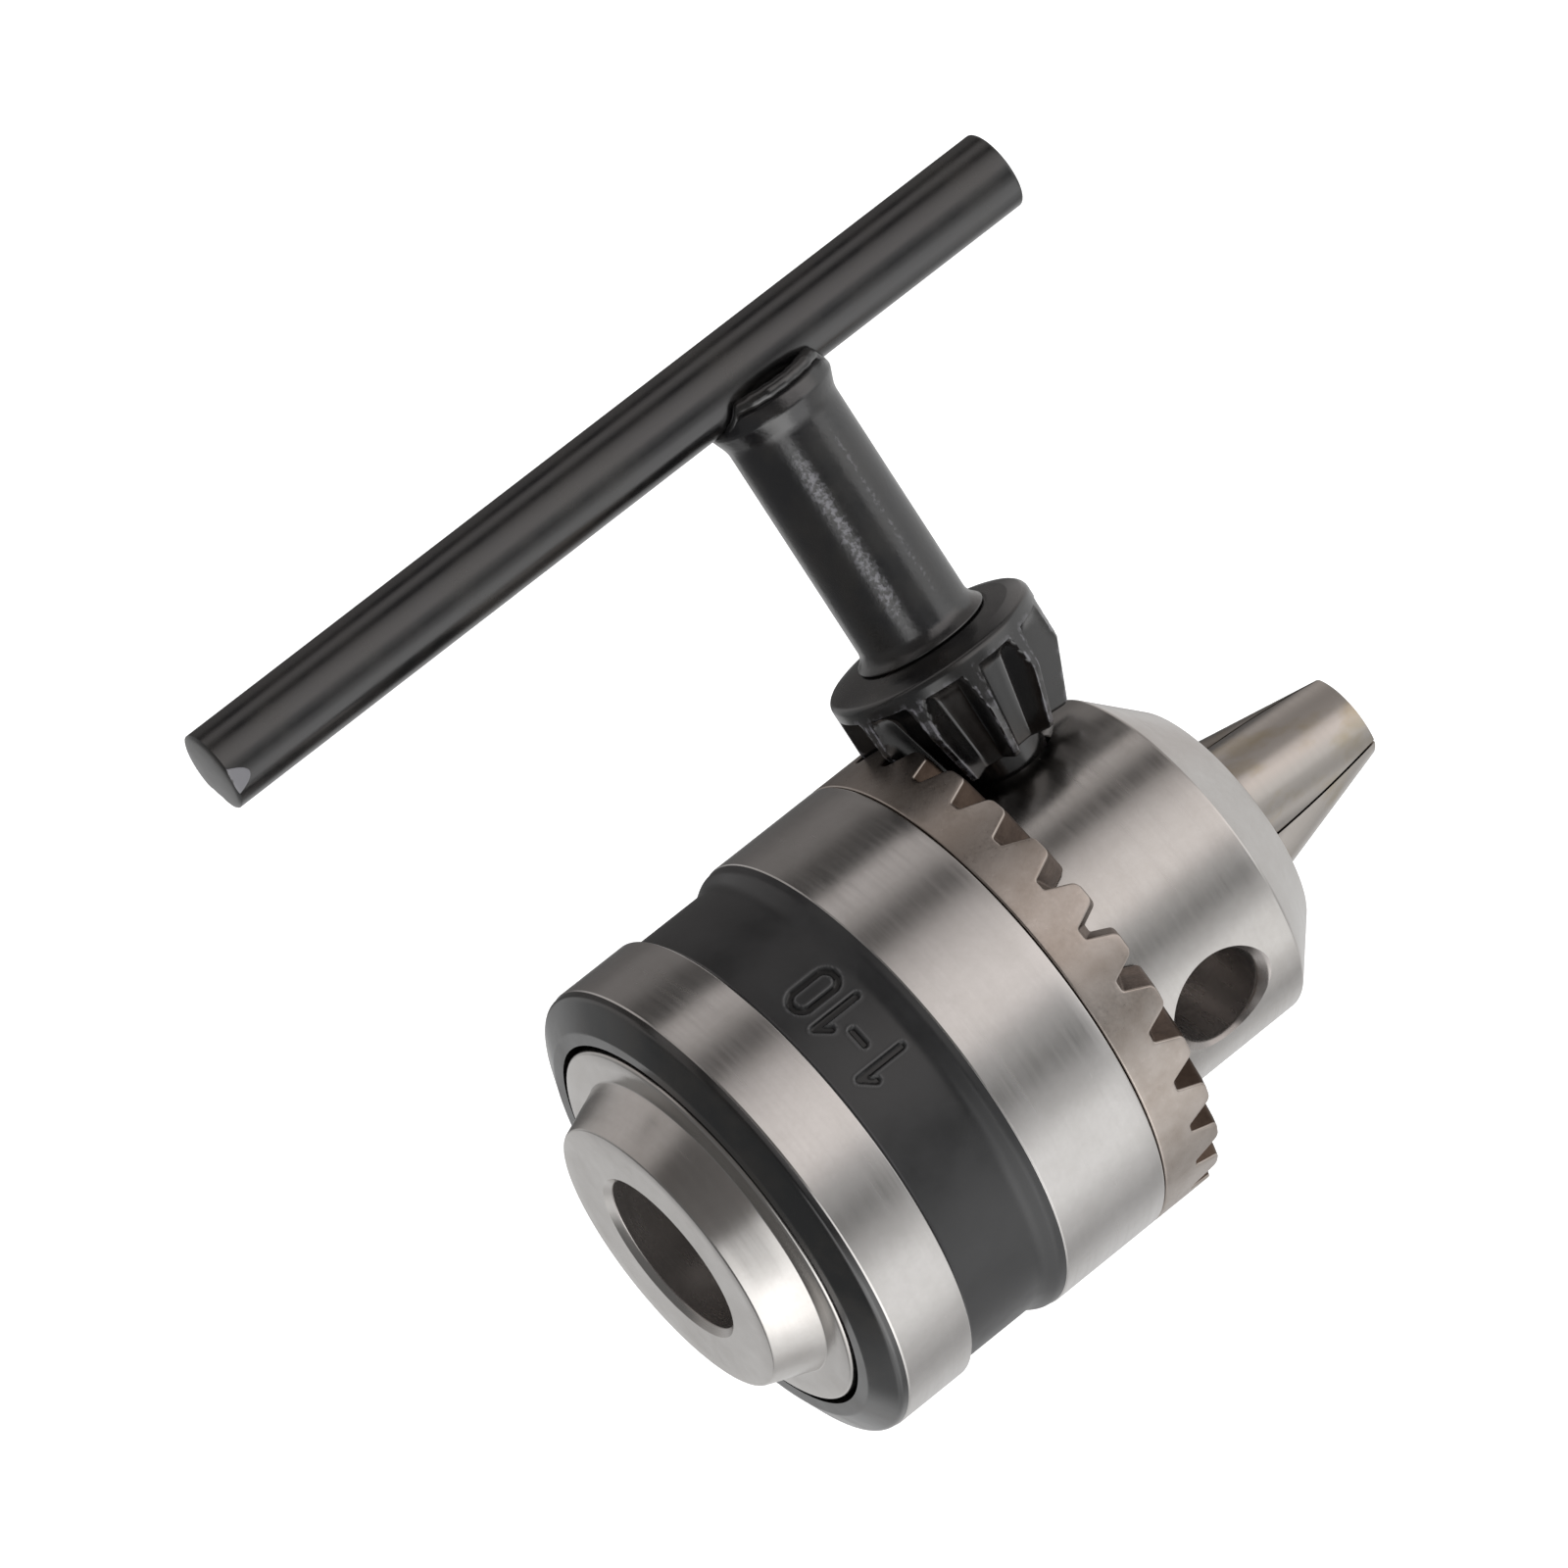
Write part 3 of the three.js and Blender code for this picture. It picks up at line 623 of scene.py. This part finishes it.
def toothed_ring():
    """The ring: its outside runs to the tooth outline over a rounded edge, and its front is ruled
    from that outline to the point where the key's axis crosses the chuck's."""
    tooth = tooth_outline()
    pitch = TAU / RING_TEETH
    angle = np.concatenate([tooth[:, 0] / SLEEVE_R + k * pitch for k in range(RING_TEETH)])
    depth = np.tile(tooth[:, 1], RING_TEETH)
    run, rise = np.gradient(np.unwrap(angle)) * SLEEVE_R, np.gradient(depth)
    length = np.hypot(run, rise)
    normal_arc, normal_depth = rise / length, -run / length
    rows = []

    def row(radius, at_angle, at_depth):
        x, y = radius * np.cos(at_angle), radius * np.sin(at_angle)
        rows.append(np.stack([x, y, -at_depth + 0 * at_angle], -1))

    for radius, s in rounded([
        (RING_BORE_R, 30.0, 0), (RING_BORE_R, NUT_GROOVE_S[1], 0.1), (NUT_SEAT_R, NUT_GROOVE_S[1], 0.1),
        (NUT_SEAT_R, RING_BACK_S, 0.1), (SLEEVE_R, RING_BACK_S, 0.13), (SLEEVE_R, RING_BACK_S + 0.5, 0),
    ], 4):
        row(radius, angle, s)
    edge_angle = angle + TOOTH_EDGE_R * normal_arc / SLEEVE_R
    edge_depth = depth + TOOTH_EDGE_R * normal_depth
    start = RING_BACK_S + 0.5
    for t in np.linspace(0.2, 1, 8):
        blend = t * t * (3 - 2 * t)
        row(SLEEVE_R, angle + blend * (edge_angle - angle), start + t * (edge_depth - start))
    outer_rows = len(rows)
    for turn in np.linspace(0, 1, 6)[1:]:
        swing = turn * math.pi / 2
        out = TOOTH_EDGE_R * (1 - math.sin(swing))
        radius = SLEEVE_R - TOOTH_EDGE_R * (1 - math.cos(swing))
        row(radius, angle + out * normal_arc / SLEEVE_R, depth + out * normal_depth)
    for radius in np.linspace(SLEEVE_R - TOOTH_EDGE_R, RING_BORE_R, 9)[1:]:
        row(radius, angle, KEY_S - (KEY_S - depth) * radius / SLEEVE_R)
    material_rows = np.where(np.arange(len(rows)) < outer_rows + 4, 0, 1)
    placed = piece("toothed_ring", np.array(rows), [GEAR, GEAR_FLANK], True, material_rows)
    smooth(placed, 38)
    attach(placed, "sleeve")
    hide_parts("gear_ring")


# ---- jaws ----
def wedge_tool(azimuth):
    """A 120 degree sector whose edge stands just off the chuck's axis."""
    reach = 30.0
    half_width = (reach - JAW_FACE_GAP) * math.tan(math.radians(60))
    ring = np.array([[JAW_FACE_GAP, 0], [reach, -half_width], [reach, half_width]])
    levels = [(0.0, -JAW_TIP_S), (1.0, -JAW_TIP_S), (1.0, 0.0), (0.0, 0.0)]
    middle = ring.mean(axis=0)
    rows = [np.column_stack([middle + grow * (ring - middle), np.full(3, z)]) for grow, z in levels]
    return piece("wedge_tool", rotated(np.array(rows), azimuth), [JAW])


def tail_tool(azimuth):
    """The inside of the sleeve as the open jaw meets it: a cylinder about the chuck's axis, moved
    across by how far the jaw travels outward."""
    outline = np.array([(0, 0), (TAIL_REACH_R, 0), (TAIL_REACH_R, JAW_TIP_S + 3), (0, JAW_TIP_S + 3)], float)
    points = turned(outline, 120) - np.array([JAW_TRAVEL_R, 0, 0])
    return piece("tail_tool", rotated(points, azimuth), [JAW])


def groove_tool(azimuth):
    """A comb turned about the chuck's axis: the grooves that the nut's thread runs in."""
    phase = GROOVE_PHASE_S - GROOVE_PITCH * azimuth / 360
    centres = [phase + k * GROOVE_PITCH for k in range(-14, 12)]
    centres = [s for s in centres if JAW_TAIL_S - GROOVE_PITCH < s <= LAST_GROOVE_S]
    section = [(-GROOVE_TOP_HALF, GROOVE_OVERSHOOT), (-GROOVE_BOTTOM_HALF, -GROOVE_DEPTH),
               (GROOVE_BOTTOM_HALF, -GROOVE_DEPTH), (GROOVE_TOP_HALF, GROOVE_OVERSHOOT)]
    corners = [(GROOVE_COMB_R, centres[0] - 1)]
    for s in centres:
        corners += [(jaw_back_r(s + offset) + above, s + offset) for offset, above in section]
    corners.append((GROOVE_COMB_R, centres[-1] + 1))
    return piece("groove_tool", turned(np.array(corners, float), 96), [JAW], closed_rows=True)


def jaw_blade(number, azimuth):
    """A round bar on the jaw's leaning axis, kept inside its 120 degree sector, with a rounded tip."""
    tail = (JAW_TIP_S - JAW_TAIL_S) / math.cos(JAW_ANGLE)
    outline = spaced(rounded([(0, -3, 0), (JAW_R, -3, 0), (JAW_R, tail, 0.3), (0, tail, 0)]), 1.5)
    placed = piece(f"jaw_blade_{number}", on_jaw_axis(outline, 96, azimuth), [JAW])
    cut(placed, [wedge_tool(azimuth), tail_tool(azimuth)], "INTERSECT")
    cut(placed, [groove_tool(azimuth)])
    edge = placed.modifiers.new("worn_edges", "BEVEL")
    edge.width = 0.09 * MM
    edge.segments = 2
    edge.limit_method = "ANGLE"
    edge.angle_limit = math.radians(28)
    smooth(placed, 30)
    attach(placed, f"jaw_{number}")
    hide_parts(f"jaw_{number}")


# ---- key ----
def pilot_pin():
    """The pilot: a round pin on the key's axis with a rounded tip."""
    outline = spaced(rounded([
        (0, PILOT_TIP_X, 0), (PILOT_R, PILOT_TIP_X, 0.5), (PILOT_R, PILOT_BACK_X, 0.1), (0, PILOT_BACK_X, 0),
    ], 6), 1.0)
    placed = piece("pilot_pin", turned_on_key(outline), [KEY_BLACK])
    smooth(placed)
    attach(placed, "key_pilot")
    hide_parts("key_pilot")


def pinion_outline():
    """The pinion's section where it meets the ring's outside: 11 pointed teeth, as (across, up)."""
    step = TAU / PINION_TEETH
    root = math.asin(GAP_ROOT_HALF / PINION_ROOT_R)
    top = math.asin(GAP_TOP_HALF / PINION_R)
    corners = []
    for k in range(PINION_TEETH):
        for radius, tilt, fillet in (
            (PINION_ROOT_R, k * step - root, 0.3), (PINION_ROOT_R, k * step + root, 0.3),
            (PINION_R, k * step + top, 0.16), (PINION_R, (k + 1) * step - top, 0.16),
        ):
            corners.append((radius * math.sin(tilt), radius * math.cos(tilt), fillet))
    return spaced(rounded(corners, 4, closed=True), 0.3, closed=True)


def pinion_wear(points):
    """1 along the tooth corners and the rim of each gap's run-out, falling off as a bell curve
    0.12 mm wide."""
    x, radius = points[..., 0], np.hypot(points[..., 1], points[..., 2] + KEY_S)
    tilt = np.arctan2(points[..., 1], points[..., 2] + KEY_S)
    step = TAU / PINION_TEETH
    corner = math.asin(GAP_TOP_HALF / PINION_R)
    aside = np.abs((tilt + step / 2) % step - step / 2) - corner
    top = np.minimum(PINION_R * x / SLEEVE_R, PINION_R)
    along_corner = np.hypot(aside * radius, radius - top)
    on_teeth = (x > PINION_X - 0.1) & (x < TEETH_END_X - 0.2)
    rim = np.hypot(x - TEETH_END_X + 0.1, np.maximum(aside * radius, 0))
    front = np.hypot(x - PINION_X - 0.1, radius - top)
    away = np.minimum(np.where(on_teeth, along_corner, 9), np.minimum(rim, front))
    return np.exp(-(away / 0.12) ** 2)


def bevel_pinion():
    """The pinion: its tooth section shrinks evenly towards the chuck's axis; near the head the gaps
    run out in a quarter circle, and the head is a rounded disc."""
    outline = pinion_outline()
    radius, tilt = np.hypot(outline[:, 0], outline[:, 1]), np.arctan2(outline[:, 0], outline[:, 1])
    rows = []

    def row(at_radius, x):
        rows.append(np.stack([x + 0 * tilt, at_radius * np.sin(tilt), at_radius * np.cos(tilt) - KEY_S], -1))

    bore = PILOT_R + 0.12
    row(0, 18.2)
    row(bore, 18.2)
    row(bore, PINION_X + 0.25)
    row(bore + 0.25, PINION_X)
    for turn in np.linspace(0, 1, 5):
        swing = turn * math.pi / 2
        x = PINION_X + 0.2 * (1 - math.cos(swing))
        row(radius * x / SLEEVE_R - 0.2 * (1 - math.sin(swing)), x)
    for x in np.concatenate([np.linspace(PINION_X + 0.7, SLEEVE_R, 9), np.linspace(17.3, TEETH_END_X, 14)]):
        full = np.minimum(radius * x / SLEEVE_R, PINION_R)
        into = np.clip((x - TEETH_END_X + RUN_OUT) / RUN_OUT, 0, 1)
        row(PINION_R - (PINION_R - full) * math.sqrt(1 - into * into), x)
    for r, x in rounded([
        (PINION_R, TEETH_END_X, 0), (PINION_R, HEAD_END_X - 0.35, 0.5),
        (PINION_R - 1.2, HEAD_END_X, 0.5), (SHANK_R + 0.8, HEAD_END_X + 0.28, 0.3),
        (SHANK_R - 0.2, HEAD_END_X + 0.32, 0), (0, HEAD_END_X + 0.32, 0),
    ], 5)[1:]:
        row(r, x)
    points = np.array(rows)
    placed = piece("bevel_pinion", points, [KEY_BLACK], marks={"wear_and_sheen": pinion_wear(points)})
    smooth(placed, 34)
    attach(placed, "key")
    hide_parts("key_pinion")


def bar_side_x(y, radius):
    """The x of the side of the cross bar that faces the chuck, at sideways distance y."""
    return BAR_X - np.sqrt(np.maximum(radius ** 2 - y ** 2, 0))


def key_shank():
    """The shank: a bar whose end flares and is hollowed to seat the cross bar. Two ragged streaks along
    it are painted grey: a painted sheen on the side turned to the camera, standing in for its highlights."""
    outline = spaced(rounded([
        (0, HEAD_END_X + 0.36, 0), (SHANK_R + 0.75, HEAD_END_X + 0.36, 0.1), (SHANK_R, HEAD_END_X + 1.1, 1.2),
        (SHANK_R, BAR_X - 4.2, 2.0), (SHANK_R + 0.5, BAR_X - 2.9, 0.5), (SHANK_R + 0.3, BAR_X - 2.0, 0.35),
        (SHANK_R - 0.6, BAR_X - 1.4, 0.3), (0, BAR_X - 1.4, 0),
    ], 6), 0.6)
    points = turned_on_key(outline, 120)
    seat = bar_side_x(np.minimum(np.abs(points[..., 1]), BAR_R * 0.97), BAR_R + 0.02)
    points[..., 0] = np.minimum(points[..., 0], seat)
    turn = np.degrees(np.arctan2(points[..., 1], points[..., 2] + KEY_S))
    # painted sheen: two ragged grey streaks on the side facing the camera stand in for the shank's highlights
    painted_sheen = 0.85 * np.exp(-((turn + 64) / 9) ** 2) + 0.5 * np.exp(-((turn + 105) / 4) ** 2)
    x = points[..., 0]
    painted_sheen *= np.clip((x - HEAD_END_X - 1.2) / 3, 0, 1) * np.clip((BAR_X - 4 - x) / 3, 0, 1)
    placed = piece("key_shank_forged", points, [KEY_ROUGH], marks={"wear_and_sheen": painted_sheen})
    smooth(placed, 50)
    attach(placed, "key")
    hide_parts("key_shank")


def saddle_weld():
    """The weld: a bead whose middle follows the shank's rim where the bar lies in it, rippled as
    each puddle of metal froze."""
    columns = 160
    turn = np.linspace(0, TAU, columns, endpoint=False)
    path_r = SHANK_R - 0.2
    y, z = path_r * np.sin(turn), path_r * np.cos(turn)
    x = bar_side_x(np.minimum(np.abs(y), BAR_R * 0.9), BAR_R) - 0.25
    bead = 0.62 * (1 + 0.035 * np.sin(23 * turn) + 0.05 * np.sin(5 * turn + 1))
    around = np.linspace(0, TAU, 20, endpoint=False)[:, None]
    out_r = path_r + bead * np.cos(around)
    x = x + 0.8 * bead * np.sin(around)
    points = np.stack([x, out_r * np.sin(turn), out_r * np.cos(turn) - KEY_S], -1)
    placed = piece("saddle_weld", points, [KEY_BLACK], closed_rows=True)
    smooth(placed, 60)
    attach(placed, "key")
    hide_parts("key_weld_collar")


def cross_bar():
    """The cross bar: a drawn rod. Its front end is sawn flat. Its back end is a low dome with two
    struck flats: the end's height is the least of the dome and of each flat's sloping plane, and
    the flats are rubbed bright."""
    columns = 240
    turn = np.linspace(0, TAU, columns, endpoint=False)
    rings = np.concatenate([np.linspace(0, 0.84, 14), np.linspace(0.86, 1, 18)])[:, None]
    x, y = rings * BAR_R * np.cos(turn), rings * BAR_R * np.sin(turn)
    height = -BAR_BACK_S - END_DOME * (rings ** 2 + rings ** 16) + 0 * x
    struck = np.full(x.shape, END_RUB)
    for azimuth, reach, slope, rub in STRUCK_FLATS:
        out = x * math.cos(math.radians(azimuth)) + y * math.sin(math.radians(azimuth))
        plane = -BAR_BACK_S - END_DOME - slope * (out - reach)
        struck = np.where(plane < height, rub, struck)
        height = np.minimum(height, plane)
    rows = np.stack([BAR_X + x, y, height], -1)
    foot = rows[-1:] - np.array([0, 0, 0.02])
    side = spaced(np.array([(BAR_R, BAR_BACK_S + FLATS_END), (BAR_R, BAR_FRONT_S - 0.3)]), 1.5)
    end = rounded([(BAR_R, BAR_FRONT_S - 0.3, 0), (BAR_R, BAR_FRONT_S, 0.22), (0, BAR_FRONT_S, 0)], 5)
    sides = turned(np.concatenate([side, end[1:]]), columns)
    points = np.concatenate([rows, foot, sides + np.array([BAR_X, 0, 0])])
    wear_and_sheen = np.concatenate([struck, np.zeros((1 + len(sides), columns))])
    placed = piece("cross_bar", points, [KEY_BLACK], marks={"wear_and_sheen": wear_and_sheen})
    smooth(placed, 25)
    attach(placed, "key")
    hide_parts("key_handle_bar")


def dress_nut():
    """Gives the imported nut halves, whose shape is right as it is, a hardened steel finish."""
    for half in ("nut_half_a", "nut_half_b"):
        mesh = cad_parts[half].data
        mesh.materials.clear()
        mesh.materials.append(NUT)


# ---- stage ----
def stage():
    """A plain pale floor below the chuck, lit through from below so that it stays even to its edge."""
    size, height = 4.0, -0.12
    mesh = bpy.data.meshes.new("floor")
    corners = [(-size, -size, height), (size, -size, height), (size, size, height), (-size, size, height)]
    mesh.from_pydata(corners, [], [(0, 1, 2, 3)])
    material, tree = new_material("pale_floor")
    shader = add_node(tree, "BsdfPrincipled", Base_Color=linear("#e8e8e8"), Roughness=0.9,
                      Emission_Color=(1.0, 1.0, 1.0, 1.0), Emission_Strength=0.55)
    mesh.materials.append(surfaced(material, shader))
    floor = bpy.data.objects.new("floor", mesh)
    bpy.context.scene.collection.objects.link(floor)
    floor.visible_glossy = False


# The light tent round the object: (azimuth in degrees, brightness) of its soft boxes and of the dark
# gaps between them, at four heights.
BOTTOM_TENT = [
    (-180, 0.7), (-150, 0.5), (-127, 0.65), (-108, 1.0), (-72, 1.15), (-54, 0.95), (-32, 0.42),
    (10, 0.35), (60, 0.6), (110, 0.75), (180, 0.7),
]
LOWER_TENT = [
    (-180, 0.66), (-160, 1.05), (-138, 1.02), (-121, 0.54), (-107, 0.2), (-93, 0.45), (-76, 0.98),
    (-56, 0.88), (-40, 0.66), (-31, 0.42), (-24, 0.07), (-16, 0.09), (-7, 0.42), (4, 0.58), (13, 0.42),
    (20, 0.08), (30, 0.07), (39, 0.21), (55, 0.2), (72, 0.13), (95, 0.12), (103, 0.66), (116, 0.72),
    (140, 0.7), (152, 0.55), (164, 0.42), (180, 0.66),
]
MIDDLE_TENT = [
    (-180, 1.1), (-166, 1.9), (-138, 2.0), (-124, 0.9), (-108, 0.16), (-90, 0.1), (-20, 0.1), (-8, 0.42),
    (30, 0.5), (90, 0.5), (104, 0.7), (125, 0.72), (150, 0.5), (180, 1.1),
]
UPPER_TENT = [
    (-180, 1.1), (-150, 1.7), (-128, 1.5), (-110, 1.2), (-94, 0.9), (-84, 0.16), (-20, 0.12), (0, 0.42),
    (80, 0.35), (100, 0.2), (130, 0.3), (160, 0.8), (180, 1.1),
]
ZENITH, NADIR = (0.15, 0.15, 0.15, 1.0), (0.75, 0.75, 0.75, 1.0)


def tent_ramp(tree, turn, stops):
    """Brightness round the object at one height, eased between its stops and slightly warm on the
    side of the key."""
    colour = add_node(tree, "ValToRGB", Fac=turn)
    colour.node.color_ramp.interpolation = "EASE"
    elements = colour.node.color_ramp.elements
    for index, (azimuth, brightness) in enumerate(stops):
        at = (azimuth + 180) / 360
        element = elements[index] if index < 2 else elements.new(at)
        element.position = at
        tint = (1.035, 0.985, 0.965) if -90 < azimuth < 80 else (1, 1, 1)
        element.color = [brightness * channel for channel in tint] + [1]
    return colour


def light_tent():
    """The world: brightness is a function of azimuth at four heights, each layer laid over the last
    between two heights, with an even zenith and nadir, and plain white where it is seen directly."""
    world = bpy.data.worlds.new("light_tent")
    bpy.context.scene.world = world
    world.use_nodes = True
    tree = world.node_tree
    tree.nodes.clear()
    direction = add_node(tree, "TexCoord", out="Generated")
    x, y, z = add_node(tree, "SeparateXYZ", Vector=direction).node.outputs
    azimuth = add_node(tree, "Math", {"operation": "ARCTAN2"}, _0=y, _1=x)
    turn = add_node(tree, "MapRange", Value=azimuth, From_Min=-math.pi, From_Max=math.pi)
    colour = tent_ramp(tree, turn, LOWER_TENT)
    for start, full, layer in (
        (-0.05, 0.1, tent_ramp(tree, turn, MIDDLE_TENT)),
        (0.33, 0.44, tent_ramp(tree, turn, UPPER_TENT)),
        (0.6, 0.78, ZENITH),
        (-0.42, -0.52, tent_ramp(tree, turn, BOTTOM_TENT)),
        (-0.85, -0.93, NADIR),
    ):
        cover = add_node(tree, "MapRange", Value=z, From_Min=start, From_Max=full)
        colour = add_node(tree, "Mix", COLOURS, 2, _0=cover, _6=colour, _7=layer)
    seen = add_node(tree, "LightPath", out="Is Camera Ray")
    colour = add_node(tree, "Mix", COLOURS, 2, _0=seen, _6=colour, _7=(1.0, 1.0, 1.0, 1.0))
    background = add_node(tree, "Background", Color=colour, Strength=1.0)
    output = tree.nodes.new("ShaderNodeOutputWorld")
    tree.links.new(background, output.inputs[0])


def floor_light():
    """A large soft lamp overhead that whitens the floor; the metal mirrors the tent, not the lamp."""
    data = bpy.data.lights.new("overhead_soft_box", "AREA")
    data.shape = "DISK"
    data.size = 1.6
    data.energy = 16
    lamp = bpy.data.objects.new("overhead_soft_box", data)
    lamp.location = (0.1, -0.2, 1.2)
    lamp.rotation_euler = (math.radians(-9), math.radians(5), 0)
    lamp.visible_glossy = False
    lamp.visible_camera = False
    bpy.context.scene.collection.objects.link(lamp)


def camera():
    """A long lens from behind the chuck's spindle end, rolled so that the jaws point up to the right."""
    back = CAMERA_BACK.normalized()
    up = back.cross(CAMERA_RIGHT).normalized()
    right = up.cross(back).normalized()
    data = bpy.data.cameras.new("camera")
    data.lens, data.sensor_width = LENS, SENSOR_WIDTH
    data.clip_start, data.clip_end = 0.05, 20
    placed = bpy.data.objects.new("camera", data)
    turn = Matrix((right, up, back)).transposed().to_4x4()
    placed.matrix_world = Matrix.Translation(LOOK_AT + back * CAMERA_DISTANCE) @ turn
    bpy.context.scene.collection.objects.link(placed)
    bpy.context.scene.camera = placed


camera()
light_tent()
floor_light()
stage()
chuck_body()
sleeve_shell()
toothed_ring()
for index, azimuth in enumerate(JAW_AZIMUTHS):
    jaw_blade(index + 1, azimuth)
pilot_pin()
bevel_pinion()
key_shank()
saddle_weld()
cross_bar()
dress_nut()
bpy.context.scene.view_settings.view_transform = "Standard"
